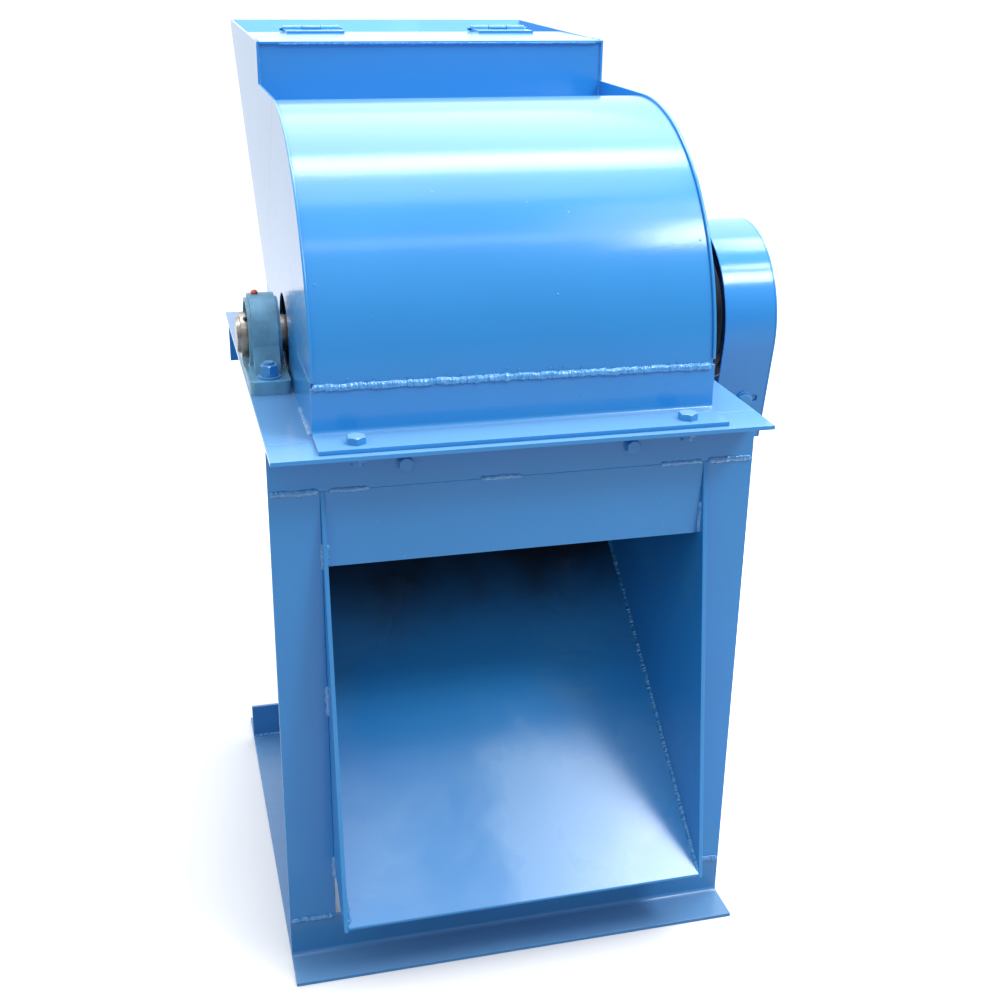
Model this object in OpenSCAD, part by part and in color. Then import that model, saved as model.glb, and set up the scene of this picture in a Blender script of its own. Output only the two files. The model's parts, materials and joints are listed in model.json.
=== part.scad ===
// Hammer mill: a welded angle-iron stand with a slanted discharge chute, a split
// mill casing with a feed hopper, and a swing-hammer rotor in two pillow blocks.
// X runs to the right along the rotor shaft, Y to the rear, Z up. The origin is
// on the floor, below the middle of the shaft.

/* [Frame] */
// Width over the flanges of the stand
frame_w = 700; // [690:5:720]
// Depth between the outer faces of the end rails
frame_d = 660; // [656:2:680]
// Height of the stand's top face
frame_h = 840; // [820:5:900]
// Leg length of the angle section
angle_leg = 70; // [68:1:72]
// Thickness of the angle section
angle_t = 6; // [5:0.5:7]

/* [Casing] */
// Thickness of the lower casing plates
plate_t = 6; // [5:0.5:6]
// Thickness of the hood and hopper sheets
sheet_t = 4; // [3:0.5:5]
// Height of the casing's split line above the stand
split_rise = 78; // [76:1:84]
// Radius of the hood's side sheets
hood_r = 342; // [340:1:346]
// Distance of the hood's centre behind the shaft
hood_shift = 23; // [21:1:25]
// Height of the hopper's top above the stand
hopper_rise = 470; // [460:5:500]
// Distance from the shaft to the hopper's front wall
hopper_wall_y = 238; // [232:1:244]
// Distance from the shaft to the rear edge of the hopper's top plate
mouth_y = 466; // [460:1:472]
// Distance from the shaft to the hopper's rear rim
hopper_rear_y = 757; // [750:1:765]

/* [Rotor] */
// Diameter of the shaft
shaft_d = 55; // [50:1:55]
// Diameter of the rotor discs
disc_d = 330; // [320:2:334]
// Number of rotor discs
disc_count = 7; // [5:1:7]
// Radius of the circle of hammer pins
pin_circle_r = 140; // [138:1:142]
// Distance from a hammer's pin to its tip
hammer_reach = 105; // [95:1:106]
// Inner radius of the screen
screen_r = 255; // [254:1:256]

/* [Chute] */
// Slope of the chute floor
chute_slope = 37; // [35:0.5:38]
// Distance of the chute's lip in front of the stand's front face
lip_reach = 98; // [90:1:105]
// Height of the chute's lip above the floor
lip_z = 113; // [105:1:120]
// Height of the plate above the chute opening
apron_h = 112; // [100:2:120]

/* [Belt guard] */
// Outer radius of the guard band
guard_r = 148; // [144:1:152]
// Width of the guard
guard_w = 86; // [84:1:88]
// Lean of the guard's straight front
guard_lean = 10; // [8:0.5:12]

/* [Hidden] */

$fn = 64;
eps = 0.01;
body_gap = 0.3;      // air between pieces that part when the hood opens
run_gap = 0.05;      // radial play of a turning fit
paint_blue = [0.16, 0.44, 0.76];
cast_blue = [0.27, 0.45, 0.55];
bare_steel = [0.55, 0.56, 0.57];
dark_steel = [0.25, 0.26, 0.28];
grease_red = [0.85, 0.25, 0.16];

// Frame
half_w = frame_w / 2;
rail_in = half_w - angle_leg;            // inner face of the side rails
side_x = rail_in + angle_t;              // outer face of the casing
front_y = -frame_d / 2;                  // front face of the front rail's web
front_in = front_y + angle_t;
rear_y = -front_y;
rear_in = -front_in;
fillet_r = angle_t + 1;

// Bearings: a two-bolt pillow block for the shaft
bearing_x = 319;                         // middle of each housing
bearing_h = 63.5;                        // shaft height above the foot
foot_l = 219;
foot_w = 60;
foot_t = 20;
foot_bolt_y = 85.5;
ring_r = 50;                             // outer ring
inner_ring_r = 34.5;
ring_w = 25;
inner_ring_in = 22.2;                    // inner ring, inboard of the housing's middle
inner_ring_out = 33.4;                   // inner ring, outboard of it
nipple_x = 9;                            // grease nipple, outboard of it
nipple_z = 58;                           // foot of the nipple above the shaft
m16 = 16;
m12 = 12;
shaft_z = frame_h + bearing_h;

// Casing
split_z = frame_h + split_rise;
upper_z = split_z + body_gap;
rear_plate_y = 262;
shaft_hole_r = 60;
hood_y = hood_shift;
shell_r = hood_r - 4;                    // the side sheets stand proud of the shell
hood_top_z = shaft_z + hood_r;
angle_top_z = frame_h + angle_leg;
angle_face_y = hood_y - shell_r - 3;     // front face of the hood angle's upright leg
casing_front_y = angle_face_y + angle_t;
casing_side_y = casing_front_y + 2;      // front edge of the lower sides, behind the shell
hopper_top_z = frame_h + hopper_rise;
rim_z = hopper_top_z + 5;
hood_bolt_x = 233;
hood_bolt_y = casing_front_y - angle_leg / 2 - 11;
breaker_bolt_x = 163;
breaker_bolt_z = frame_h - 38;

// Hood hinge
hinge_y = rear_plate_y + 22;
hinge_z = split_z - 4;
hinge_r = 11;
hinge_pin_r = 6;
hinge_x = 200;
knuckle_l = 30;

// Feed flap hinge
flap_pin_r = 3;
flap_barrel_r = 6;
flap_y = mouth_y + 22;
flap_z = hopper_top_z + 4;
flap_x = 168;
flap_knuckle_l = 33;
flap_drop = 155;
flap_t = 3;

// Rotor
disc_t = 10;
disc_pitch = 80;
disc_x0 = -disc_pitch * (disc_count - 1) / 2;
rotor_end = -disc_x0 + disc_t / 2;
core_d = shaft_d + 10;
spacer_r = 45;
pin_r = 10;
pin_spacer_r = 16;
hammer_t = 8;
hammer_w = 50;
hammer_tail = 22;
hammer_stagger = 17;
pulley_x = 384;
pulley_w = 65;
pulley_r = 110;
pulley_bore_r = 25;
groove_pitch = 19;
key_w = 14;
key_h = 9;
key_l = 50;

// Screen
screen_t = 3;
floor_t = 3;                              // sheet of the chute floor
screen_half = 260;
screen_start = 198;                      // angles about the shaft, from the rear
screen_end = 360;

// Chute
chute_in = rail_in - plate_t;            // inner face of the chute sides
lip_y = front_y - lip_reach;
chute_rear_y = rear_plate_y + plate_t;
chute_rear_z = lip_z + (rear_plate_y - lip_y) * tan(chute_slope);
apron_z = frame_h - angle_leg - apron_h;
chute_side_top = frame_h - 40;

// Belt guard
guard_x = 374;
guard_t = 3;
guard_drop = 183;
guard_bolt_x = guard_x + 48;
guard_bolt_z = -112;                     // below the shaft

// ---- shared shapes ----

// Angle section with its heel at the origin and its legs along +x and +y.
module angle_profile(leg = angle_leg, t = angle_t) {
    square([leg, t]);
    square([t, leg]);
    difference() {
        translate([t - eps, t - eps]) square(fillet_r);
        translate([t + fillet_r, t + fillet_r]) circle(fillet_r);
    }
}

// Angle bar along X: heel at y, z and legs towards sy and sz.
module bar_x(half, y, z, sy, sz) {
    translate([-half, y, z]) rotate([90, 0, 90])
        linear_extrude(2 * half) scale_sign(sy, sz) angle_profile();
}

// Angle bar along Y between the end rails: heel at x, z.
module bar_y(x, z, sx, sz) {
    translate([x, rear_in, z]) rotate([90, 0, 0])
        linear_extrude(rear_in - front_in) scale_sign(sx, sz) angle_profile();
}

// Upright angle between the rails: heel at x, y.
module bar_z(x, y, sx, sy) {
    translate([x, y, angle_leg])
        linear_extrude(frame_h - 2 * angle_leg) scale_sign(sx, sy) angle_profile();
}

module scale_sign(a, b) {
    mirror([a < 0 ? 1 : 0, 0, 0]) mirror([0, b < 0 ? 1 : 0, 0]) children();
}

// A plate cut in the Y-Z plane, from x0 towards +X.
module plate_yz(x0, t) {
    translate([x0, 0, 0]) rotate([90, 0, 90]) linear_extrude(t) children();
}

// A cylinder along X from x0.
module rod_x(x0, l, r, y = 0, z = 0) {
    translate([x0, y, z]) rotate([0, 90, 0]) cylinder(h = l, r = r);
}

// A tube along X from x0.
module tube_x(x0, l, r, bore, y = 0, z = 0) {
    difference() {
        rod_x(x0, l, r, y, z);
        rod_x(x0 - 1, l + 2, bore, y, z);
    }
}

// Hexagon of a given width across flats, along +Z.
module hex(flats, h) {
    rotate([0, 0, 30]) cylinder(h = h, r = flats / sqrt(3), $fn = 6);
}

// Hexagon head or nut with its top corners turned down.
module hex_head(flats, h) {
    intersection() {
        hex(flats, h);
        union() {
            cylinder(h = h - 1.5 + eps, r = flats);
            translate([0, 0, h - 1.5]) cylinder(h = 1.5, r1 = flats * 0.578, r2 = flats * 0.48);
        }
    }
}

module washer(d, h, outer) {
    difference() {
        cylinder(h = h, r = outer);
        translate([0, 0, -1]) cylinder(h = h + 2, r = d / 2);
    }
}

// A bolt standing on z = 0 with its shank downwards and a nut under the grip.
module bolt_through(d, flats, head_h, grip, tail) {
    hex_head(flats, head_h);
    translate([0, 0, -grip - tail]) cylinder(h = grip + tail + eps, r = d / 2);
    translate([0, 0, -grip]) mirror([0, 0, 1]) hex_head(flats, 0.8 * d);
}

// ---- stand ----

module hood_bolt_holes() {
    for (s = [-1, 1])
        translate([s * hood_bolt_x, hood_bolt_y, frame_h - angle_t - 1])
            cylinder(h = angle_t + 2, r = m16 / 2 + 0.5);
}

module top_rail_front() {
    color(paint_blue) difference() {
        bar_x(half_w, front_in, frame_h, -1, -1);
        hood_bolt_holes();
        for (s = [-1, 1])
            translate([s * breaker_bolt_x, front_in + 1, breaker_bolt_z])
                rotate([90, 0, 0]) cylinder(h = angle_t + 2, r = m12 / 2 + 0.5);
    }
}

module top_rail_rear() {
    color(paint_blue) bar_x(half_w, rear_in, frame_h, 1, -1);
}

module top_side_rail(s) {
    color(paint_blue) difference() {
        bar_y(s * rail_in, frame_h, s, -1);
        for (e = [-1, 1])
            translate([s * bearing_x, e * foot_bolt_y, frame_h - angle_t - 1])
                cylinder(h = angle_t + 2, r = m16 / 2 + 0.75);
    }
}

module top_rail_left() { top_side_rail(-1); }
module top_rail_right() { top_side_rail(1); }
module bottom_rail_front() { color(paint_blue) bar_x(half_w, front_in, 0, -1, 1); }
module bottom_rail_rear() { color(paint_blue) bar_x(half_w, rear_in, 0, 1, 1); }
module bottom_rail_left() { color(paint_blue) bar_y(-rail_in, 0, -1, 1); }
module bottom_rail_right() { color(paint_blue) bar_y(rail_in, 0, 1, 1); }
module leg_front_left() { color(paint_blue) leg_front(-1); }
module leg_front_right() { color(paint_blue) leg_front(1); }
module leg_rear_left() { color(paint_blue) leg_rear(-1); }
module leg_rear_right() { color(paint_blue) leg_rear(1); }

// Front leg: its face flange points outwards, flush with the rail's web.
module leg_front(s) {
    translate([s * half_w, 0, angle_leg]) linear_extrude(frame_h - 2 * angle_leg)
        scale_sign(s, 1) front_leg_profile();
}

module front_leg_profile() {
    translate([-angle_leg, front_y]) square([angle_leg, angle_t]);
    translate([-angle_leg, front_y]) square([angle_t, angle_leg]);
    difference() {
        translate([angle_t - angle_leg - eps, front_in - eps]) square(fillet_r);
        translate([angle_t - angle_leg + fillet_r, front_in + fillet_r]) circle(fillet_r);
    }
}

// Rear leg: its heel is outside and both flanges point inwards.
module leg_rear(s) {
    bar_z(s * side_x, rear_y, -s, -1);
}

module front_apron() {
    color(paint_blue)
        translate([-chute_in, front_y, apron_z]) cube([2 * chute_in, plate_t, apron_h]);
}

// ---- chute ----

module chute_floor() {
    under = (plate_t - floor_t) / cos(chute_slope);
    upper = plate_t / cos(chute_slope);
    color(paint_blue) plate_yz(-chute_in, 2 * chute_in) polygon([
        [lip_y, lip_z + under], [rear_plate_y, chute_rear_z + under],
        [rear_plate_y, chute_rear_z + upper], [lip_y, lip_z + upper]]);
}

module chute_side(s) {
    color(paint_blue) plate_yz(s > 0 ? chute_in : -rail_in, plate_t) polygon([
        [front_y, frame_h - angle_leg], [lip_y, lip_z], [lip_y + 22, lip_z],
        [chute_rear_y, chute_rear_z - 8], [chute_rear_y, chute_side_top],
        [front_in, chute_side_top], [front_in, frame_h - angle_leg]]);
}

module chute_side_left() { chute_side(-1); }
module chute_side_right() { chute_side(1); }

// ---- lower casing ----

module casing_side(s) {
    color(paint_blue) difference() {
        plate_yz(s > 0 ? rail_in : -side_x, plate_t) polygon([
            [casing_side_y, frame_h], [chute_rear_y, frame_h],
            [chute_rear_y, split_z], [casing_side_y, split_z]]);
        rod_x(-half_w, frame_w, shaft_hole_r, 0, shaft_z);
    }
}

module casing_side_left() { casing_side(-1); }
module casing_side_right() { casing_side(1); }

module casing_rear_plate() {
    color(paint_blue)
        translate([-chute_in, rear_plate_y, chute_rear_z])
            cube([2 * chute_in, plate_t, split_z - chute_rear_z]);
}

// Bolted angle that closes the gap in front of the screen.
module breaker_plate() {
    t = 8;
    color(dark_steel) difference() {
        union() {
            translate([-chute_in + 2, front_in, breaker_bolt_z - 25])
                cube([2 * chute_in - 4, t, 50]);
            translate([-chute_in + 2, front_in, breaker_bolt_z + 17])
                cube([2 * chute_in - 4, -front_in - screen_r + 8, t]);
        }
        for (s = [-1, 1])
            translate([s * breaker_bolt_x, 0, breaker_bolt_z])
                rotate([90, 0, 0]) cylinder(h = frame_d, r = m12 / 2 + 0.5);
    }
}

module breaker_bolts() {
    color(paint_blue)
        for (s = [-1, 1]) translate([s * breaker_bolt_x, front_y, breaker_bolt_z]) {
            rotate([90, 0, 0]) washer(m12, 2.5, 12);
            translate([0, -2.5, 0]) rotate([90, 0, 0]) bolt_through(m12, 19, 7.5, 16.5, 14);
        }
}

// Ring sector in the Y-Z plane about the shaft, from angle a0 to a1.
module ring_sector(r0, r1, a0, a1) {
    reach = 2 * r1;
    steps = ceil((a1 - a0) / 45);
    translate([0, shaft_z]) intersection() {
        difference() {
            circle(r1, $fn = 180);
            circle(r0, $fn = 180);
        }
        polygon(concat([[0, 0]], [for (i = [0:steps])
            let (a = a0 + (a1 - a0) * i / steps) [reach * cos(a), reach * sin(a)]]));
    }
}

// Rolled screen with rows of slots.
module screen() {
    rows = 11;
    slot = [140, 26];
    slot_pitch = [170, 13];              // along the shaft, and in degrees round it
    color(dark_steel) difference() {
        plate_yz(-screen_half, 2 * screen_half)
            ring_sector(screen_r, screen_r + screen_t, screen_start, screen_end);
        for (i = [0:rows - 1], j = [-1:1])
            translate([j * slot_pitch[0], 0, shaft_z])
                rotate([(screen_start + screen_end) / 2
                    + (i - (rows - 1) / 2) * slot_pitch[1] + 90, 0, 0])
                    translate([-slot[0] / 2, -slot[1] / 2, -screen_r - 10])
                        cube([slot[0], slot[1], 20]);
    }
}

// Rolled flat bar that carries the screen's edge.
module screen_rail(s) {
    color(paint_blue) plate_yz(s > 0 ? chute_in - 24 : -chute_in, 24)
        ring_sector(screen_r + screen_t, screen_r + screen_t + 3, screen_start + 4, 354);
}

module screen_rail_left() { screen_rail(-1); }
module screen_rail_right() { screen_rail(1); }

// ---- bearings ----

module bearing_housing(s) {
    top_r = 62.5;
    body_w = 38;
    color(cast_blue) translate([s * bearing_x, 0, frame_h]) difference() {
        union() {
            // foot, with its ends rounded in plan
            translate([-foot_w / 2, -foot_l / 2 + 8, 0]) cube([foot_w, foot_l - 16, foot_t]);
            for (e = [-1, 1]) translate([0, e * (foot_l / 2 - 8), 0]) {
                translate([-foot_w / 2 + 8, -8, 0]) cube([foot_w - 16, 16, foot_t]);
                for (f = [-1, 1]) translate([f * (foot_w / 2 - 8), 0, 0])
                    cylinder(h = foot_t, r = 8);
            }
            rod_x(-body_w / 2, body_w, top_r, 0, bearing_h);
            rod_x(-body_w / 2 - 5, body_w + 10, ring_r + 6, 0, bearing_h);
            plate_yz(-body_w / 2, body_w) polygon([
                [-74, foot_t - 1], [74, foot_t - 1], [top_r - 1, bearing_h], [1 - top_r, bearing_h]]);
            plate_yz(-foot_w / 2 + 5, foot_w - 10) polygon([
                [-62, foot_t - 1], [62, foot_t - 1], [44, foot_t + 10], [-44, foot_t + 10]]);
        }
        rod_x(-foot_w, 2 * foot_w, ring_r, 0, bearing_h);
        for (e = [-1, 1]) translate([0, e * foot_bolt_y, 0]) {
            translate([0, 0, -1]) cylinder(h = foot_t + 2, r = 9.5);
            translate([0, 0, foot_t]) cylinder(h = 40, r = 17.5);
        }
        translate([s * nipple_x, 0, bearing_h + nipple_z]) cylinder(h = 10, r = 4);
    }
}

module bearing_housing_left() { bearing_housing(-1); }
module bearing_housing_right() { bearing_housing(1); }

module bearing_outer_rings() {
    color(bare_steel) for (s = [-1, 1])
        tube_x(s * bearing_x - ring_w / 2, ring_w, ring_r, inner_ring_r + run_gap, 0, shaft_z);
}

module bearing_bolts() {
    washer_t = 3;
    spring_t = 4;
    color(paint_blue) for (s = [-1, 1], e = [-1, 1])
        translate([s * bearing_x, e * foot_bolt_y, frame_h + foot_t]) {
            washer(m16, washer_t, 17);
            translate([0, 0, washer_t]) washer(m16, spring_t, 13);
            translate([0, 0, washer_t + spring_t]) hex_head(24, 13);
            translate([0, 0, -foot_t - angle_t - 10])
                cylinder(h = foot_t + angle_t + 34, r = m16 / 2);
            translate([0, 0, -foot_t - angle_t]) mirror([0, 0, 1]) hex_head(24, 10);
        }
}

module grease_nipples() {
    color(grease_red) for (s = [-1, 1])
        translate([s * (bearing_x + nipple_x), 0, shaft_z + nipple_z]) {
            cylinder(h = 5.5, r = 4);
            translate([0, 0, 5.5]) cylinder(h = 2, r = 5.5);
            translate([0, 0, 7.5]) cylinder(h = 2.5, r1 = 5.5, r2 = 3);
        }
}

// ---- belt guard ----

// Outline of the guard about the shaft: a round top, a leaning straight
// front and an upright rear, down to a given depth.
module guard_outline(r, drop) {
    tangent = [-r * cos(guard_lean), -r * sin(guard_lean)];
    circle(r, $fn = 120);
    polygon([tangent, [tangent[0] + (drop + tangent[1]) * tan(guard_lean), -drop],
        [r, -drop], [r, 0], [0, 0]]);
}

// Y of the guard's inner front surface at a height relative to the shaft.
function guard_front_y(z) = let (r = guard_r - guard_t)
    -r * cos(guard_lean) - (z + r * sin(guard_lean)) * tan(guard_lean);

module guard_band() {
    color(paint_blue) difference() {
        translate([0, 0, shaft_z]) plate_yz(guard_x, guard_w - guard_t) difference() {
            guard_outline(guard_r, guard_drop);
            guard_outline(guard_r - guard_t, guard_drop + 10);
        }
        guard_bolt_places() for (u = [0, 1, 2])
            translate([u * 9 - 2, 0, -20]) cylinder(h = 40, r = 6.5);
    }
}

module guard_face() {
    color(paint_blue) translate([0, 0, shaft_z])
        plate_yz(guard_x + guard_w - guard_t, guard_t) guard_outline(guard_r, guard_drop);
}

// Bolt axes of the guard, pointing outwards from the band's inner surface.
module guard_bolt_places() {
    translate([guard_bolt_x, guard_front_y(guard_bolt_z), shaft_z + guard_bolt_z])
        rotate([90 + guard_lean, 0, 0]) children();
    translate([guard_bolt_x, guard_r - guard_t, shaft_z + guard_bolt_z])
        rotate([-90, 0, 0]) children();
}

// Flat bars from the right rail's web to the inside of the guard band.
module guard_brackets() {
    t = 6;
    reach = guard_x + guard_w - 12 - side_x;
    color(paint_blue) difference() {
        union() {
            translate([side_x, guard_front_y(guard_bolt_z), shaft_z + guard_bolt_z])
                rotate([guard_lean, 0, 0]) translate([0, 0, -22]) cube([reach, t, 44]);
            translate([side_x, guard_r - guard_t - t, shaft_z + guard_bolt_z - 22])
                cube([reach, t, 44]);
        }
        guard_bolt_places() translate([0, 0, -20]) cylinder(h = 40, r = 6.5);
    }
}

module guard_bolts() {
    color(paint_blue) guard_bolt_places() translate([0, 0, guard_t]) {
        washer(m12, 2.5, 13);
        translate([0, 0, 2.5]) bolt_through(m12, 19, 7.5, 12, 12);
    }
}

// ---- hood fastenings that stay on the stand ----

module hood_nuts() {
    color(paint_blue) for (s = [-1, 1])
        translate([s * hood_bolt_x, hood_bolt_y, frame_h - angle_t]) {
            mirror([0, 0, 1]) hex_head(24, 13);
            translate([0, 0, -19]) cylinder(h = 19 + angle_t, r = m16 / 2);
        }
}

module hood_hinge_lugs() {
    color(paint_blue) for (s = [-1, 1], e = [-1, 1])
        translate([s * hinge_x + e * (knuckle_l + 1) - knuckle_l / 2, 0, 0]) difference() {
            union() {
                rod_x(0, knuckle_l, hinge_r, hinge_y, hinge_z);
                translate([0, chute_rear_y, hinge_z - 60])
                    cube([knuckle_l, 5, 60]);
                translate([0, chute_rear_y, hinge_z - 5])
                    cube([knuckle_l, hinge_y - chute_rear_y, 5]);
            }
            rod_x(-1, knuckle_l + 2, hinge_pin_r, hinge_y, hinge_z);
        }
}

module hood_hinge_pins() {
    l = 3 * knuckle_l + 14;
    color(bare_steel) for (s = [-1, 1]) {
        rod_x(s * hinge_x - l / 2, l, hinge_pin_r, hinge_y, hinge_z);
        rod_x(s * hinge_x - l / 2 - 4, 4, hinge_pin_r + 3, hinge_y, hinge_z);
    }
}

// ---- rotor ----

module rotor_shaft() {
    journal_end = 358;
    color(bare_steel) difference() {
        union() {
            rod_x(-journal_end, 2, shaft_d / 2 - 1.5, 0, shaft_z);
            rod_x(-journal_end + 2, 2 * journal_end - 2, shaft_d / 2, 0, shaft_z);
            rod_x(-rotor_end - 14, 2 * rotor_end + 28, core_d / 2, 0, shaft_z);
            rod_x(journal_end, pulley_x + pulley_w + 2 - journal_end, pulley_bore_r, 0, shaft_z);
        }
        translate([pulley_x + 6, -key_w / 2, shaft_z + pulley_bore_r - key_h / 2])
            cube([key_l, key_w, key_h]);
    }
}

module bearing_inner_rings() {
    color(bare_steel) difference() {
        for (s = [-1, 1])
            tube_x(s > 0 ? bearing_x - inner_ring_in : -bearing_x - inner_ring_out,
                inner_ring_in + inner_ring_out, inner_ring_r, shaft_d / 2, 0, shaft_z);
        collar_screw_holes(5);
    }
}

// Radial places of the collar's set screws, 62 degrees off each other.
module collar_screw_places() {
    for (s = [-1, 1], a = [34, -28])
        translate([s * (bearing_x + inner_ring_out - 9), 0, shaft_z]) rotate([a, 0, 0]) children();
}

module collar_screw_holes(r) {
    collar_screw_places() translate([0, 0, shaft_d / 2 - 2]) cylinder(h = 14, r = r, $fn = 24);
}

module collar_screws() {
    color(dark_steel) difference() {
        collar_screw_places()
            translate([0, 0, shaft_d / 2]) cylinder(h = 6, r = 5, $fn = 24);
        collar_screw_places()
            translate([0, 0, shaft_d / 2 + 3]) hex(5, 10);
    }
}

// The four places of the hammer pins about the shaft.
module pin_places() {
    for (a = [45, 135, 225, 315])
        translate([0, pin_circle_r * cos(a), shaft_z + pin_circle_r * sin(a)]) children();
}

module rotor_discs() {
    color(dark_steel) difference() {
        for (i = [0:disc_count - 1])
            rod_x(disc_x0 + i * disc_pitch - disc_t / 2, disc_t, disc_d / 2, 0, shaft_z);
        rod_x(-rotor_end - 1, 2 * rotor_end + 2, core_d / 2, 0, shaft_z);
        pin_places() rod_x(-rotor_end - 1, 2 * rotor_end + 2, pin_r);
    }
}

module disc_spacers() {
    color(dark_steel) {
        for (i = [0:disc_count - 2])
            tube_x(disc_x0 + i * disc_pitch + disc_t / 2, disc_pitch - disc_t, spacer_r,
                core_d / 2, 0, shaft_z);
        for (s = [-1, 1])
            tube_x(s > 0 ? rotor_end : -rotor_end - 12, 12, spacer_r, core_d / 2, 0, shaft_z);
    }
}

module hammer_pins() {
    color(bare_steel) pin_places()
        rod_x(-rotor_end - 14, 2 * rotor_end + 28, pin_r);
}

module pin_collars() {
    color(bare_steel) pin_places()
        for (s = [-1, 1]) tube_x(s > 0 ? rotor_end : -rotor_end - 9, 9, 17, pin_r);
}

// Middle of the hammer in each gap: alternate rows sit to alternate sides.
function hammer_x(row, i) = disc_x0 + (i + 0.5) * disc_pitch + (row % 2 == 0 ? 1 : -1) * hammer_stagger;

module hammer_spacers() {
    side_gap = 0.4;
    color(dark_steel) for (row = [0:3], i = [0:disc_count - 2]) {
        a = 45 + 90 * row;
        left = disc_x0 + i * disc_pitch + disc_t / 2;
        right = left + disc_pitch - disc_t;
        hammer_left = hammer_x(row, i) - hammer_t / 2 - side_gap;
        hammer_right = hammer_left + hammer_t + 2 * side_gap;
        y = pin_circle_r * cos(a);
        z = shaft_z + pin_circle_r * sin(a);
        tube_x(left, hammer_left - left, pin_spacer_r, pin_r, y, z);
        tube_x(hammer_right, right - hammer_right, pin_spacer_r, pin_r, y, z);
    }
}

// One row of swing hammers, hanging straight down from its pin.
module hammer_row(row) {
    a = 45 + 90 * row;
    color(bare_steel) translate([0, pin_circle_r * cos(a), shaft_z + pin_circle_r * sin(a)])
        for (i = [0:disc_count - 2]) difference() {
            union() {
                translate([hammer_x(row, i) - hammer_t / 2, -hammer_w / 2, -hammer_reach])
                    cube([hammer_t, hammer_w, hammer_reach]);
                rod_x(hammer_x(row, i) - hammer_t / 2, hammer_t, hammer_w / 2);
            }
            rod_x(-rotor_end, 2 * rotor_end, pin_r + run_gap);
        }
}

module hammer_row_1() { hammer_row(0); }
module hammer_row_2() { hammer_row(1); }
module hammer_row_3() { hammer_row(2); }
module hammer_row_4() { hammer_row(3); }

// V-belt pulley with three grooves, a web and a keyed hub.
module drive_pulley() {
    mid = pulley_w / 2;
    color(dark_steel) difference() {
        translate([pulley_x, 0, shaft_z]) rotate([0, 90, 0]) rotate_extrude($fn = 72) difference() {
            union() {
                translate([pulley_r - 26, 0]) square([26, pulley_w]);
                translate([pulley_bore_r, mid - 7]) square([pulley_r - pulley_bore_r - 20, 14]);
                translate([pulley_bore_r, 0]) square([22, pulley_w]);
            }
            for (k = [-1, 0, 1]) translate([pulley_r, mid + k * groove_pitch])
                polygon([[1, -8.5], [1, 8.5], [-14, 5], [-14, -5]]);
        }
        translate([pulley_x - 1, -key_w / 2, shaft_z]) cube([pulley_w + 2, key_w, pulley_bore_r + 4]);
    }
}

module pulley_key() {
    color(bare_steel)
        translate([pulley_x + 6, -key_w / 2, shaft_z + pulley_bore_r - key_h / 2])
            cube([key_l, key_w, key_h - 1]);
}

// ---- hood and hopper ----

function rear_wall_slope() = atan2(rim_z - upper_z, hopper_rear_y - rear_plate_y);

// Outline of the hood's side sheets: a quarter round in front, a level shoulder
// and the hopper with its sloping rear edge.
module hood_side_outline() {
    difference() {
        union() {
            intersection() {
                translate([hood_y, shaft_z]) circle(hood_r, $fn = 180);
                translate([hood_y - hood_r, upper_z]) square([hood_r + 1, hood_r + 1]);
            }
            polygon([[hood_y, upper_z], [hood_y, hood_top_z], [hopper_wall_y - 4, hood_top_z],
                [hopper_wall_y - 4, hopper_top_z], [hopper_rear_y + 4, rim_z],
                [hopper_rear_y + 4, rim_z - 14], [rear_plate_y + 4, upper_z]]);
        }
        translate([0, shaft_z]) circle(shaft_hole_r);
    }
}

module hood_side_left() { color(paint_blue) plate_yz(-side_x, sheet_t) hood_side_outline(); }
module hood_side_right() { color(paint_blue) plate_yz(side_x - sheet_t, sheet_t) hood_side_outline(); }

// Rolled shell from the front angle over the top to the hopper's front wall.
module hood_shell() {
    end_angle = acos((hopper_wall_y - hood_y) / shell_r);
    w = side_x - sheet_t;
    reach = 2 * shell_r;
    color(paint_blue) plate_yz(-w, 2 * w) {
        intersection() {
            translate([hood_y, shaft_z]) difference() {
                circle(shell_r, $fn = 180);
                circle(shell_r - sheet_t, $fn = 180);
            }
            translate([hood_y, shaft_z]) polygon([[0, 0],
                reach * [cos(end_angle), sin(end_angle)], [0, reach],
                [-reach, reach], [-reach, 0]]);
            translate([hood_y - reach, angle_top_z + body_gap]) square([2 * reach, reach]);
        }
    }
}

module hood_front_angle() {
    color(paint_blue) difference() {
        bar_x(side_x, casing_front_y, frame_h + body_gap, -1, 1);
        for (s = [-1, 1])
            translate([s * hood_bolt_x, hood_bolt_y, frame_h - 1])
                cylinder(h = 2 * angle_t, r = m16 / 2);
    }
}

module hood_bolts() {
    color(paint_blue) for (s = [-1, 1])
        translate([s * hood_bolt_x, hood_bolt_y, frame_h + body_gap]) {
            translate([0, 0, angle_t]) hex_head(24, 10);
            cylinder(h = angle_t + 1, r = m16 / 2);
        }
}

module hopper_front_wall() {
    w = side_x - sheet_t;
    foot_z = shaft_z + sqrt(pow(shell_r, 2) - pow(hopper_wall_y - hood_y, 2));
    color(paint_blue) translate([-w, hopper_wall_y, foot_z])
        cube([2 * w, sheet_t, hopper_top_z - sheet_t - foot_z]);
}

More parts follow.
